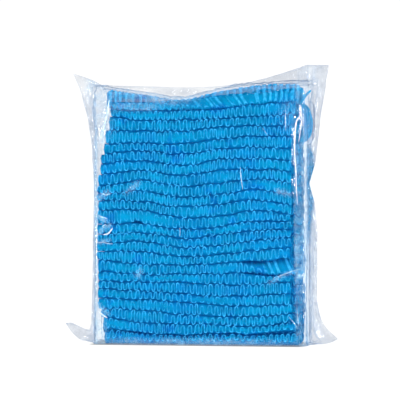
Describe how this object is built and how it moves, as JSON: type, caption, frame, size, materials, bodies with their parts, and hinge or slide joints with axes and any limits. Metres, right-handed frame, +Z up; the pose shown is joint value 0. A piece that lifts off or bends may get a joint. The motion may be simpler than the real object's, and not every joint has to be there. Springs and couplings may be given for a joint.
{
  "type": "bag of folded disposable caps",
  "caption": "Clear film bag with pointed corner ears, packed tight with blue pleated non-woven caps folded into narrow bands and stacked in rows.",
  "frame": {"origin": "centre of the overall box on the floor, midway between the tips of the bottom ears", "axes": "+Z up from the floor, -Y towards the viewer of the front face, +X to that viewer's right along the folded caps"},
  "size_m": [0.29, 0.0678, 0.2915],
  "materials": {
    "cap_fabric": "matte spun-bonded non-woven, mid blue",
    "bag_film": "clear glossy film with fine creases"
  },
  "bodies": {
    "root": {"bag_front_film": "bag_film", "bag_back_film": "bag_film", "cap_front_01": "cap_fabric", "cap_front_02": "cap_fabric", "cap_front_03": "cap_fabric", "cap_front_04": "cap_fabric", "cap_front_05": "cap_fabric", "cap_front_06": "cap_fabric", "cap_front_07": "cap_fabric", "cap_front_08": "cap_fabric", "cap_front_09": "cap_fabric", "cap_front_10": "cap_fabric", "cap_front_11": "cap_fabric", "cap_front_12": "cap_fabric", "cap_front_13": "cap_fabric", "cap_front_14": "cap_fabric", "cap_front_15": "cap_fabric", "cap_front_16": "cap_fabric", "cap_front_17": "cap_fabric", "cap_front_18": "cap_fabric", "cap_front_19": "cap_fabric", "cap_front_20": "cap_fabric", "cap_front_21": "cap_fabric", "cap_front_22": "cap_fabric", "cap_front_23": "cap_fabric", "cap_front_24": "cap_fabric", "cap_back_01": "cap_fabric", "cap_back_02": "cap_fabric", "cap_back_03": "cap_fabric", "cap_back_04": "cap_fabric", "cap_back_05": "cap_fabric", "cap_back_06": "cap_fabric", "cap_back_07": "cap_fabric", "cap_back_08": "cap_fabric", "cap_back_09": "cap_fabric", "cap_back_10": "cap_fabric", "cap_back_11": "cap_fabric", "cap_back_12": "cap_fabric", "cap_back_13": "cap_fabric", "cap_back_14": "cap_fabric", "cap_back_15": "cap_fabric", "cap_back_16": "cap_fabric", "cap_back_17": "cap_fabric", "cap_back_18": "cap_fabric", "cap_back_19": "cap_fabric", "cap_back_20": "cap_fabric", "cap_back_21": "cap_fabric", "cap_back_22": "cap_fabric", "cap_back_23": "cap_fabric", "cap_back_24": "cap_fabric", "inner_caps_1": "cap_fabric", "inner_caps_2": "cap_fabric", "inner_caps_3": "cap_fabric", "inner_caps_4": "cap_fabric", "cap_top_1": "cap_fabric", "cap_top_2": "cap_fabric", "cap_top_3": "cap_fabric", "cap_top_4": "cap_fabric"}
  },
  "joints": []
}
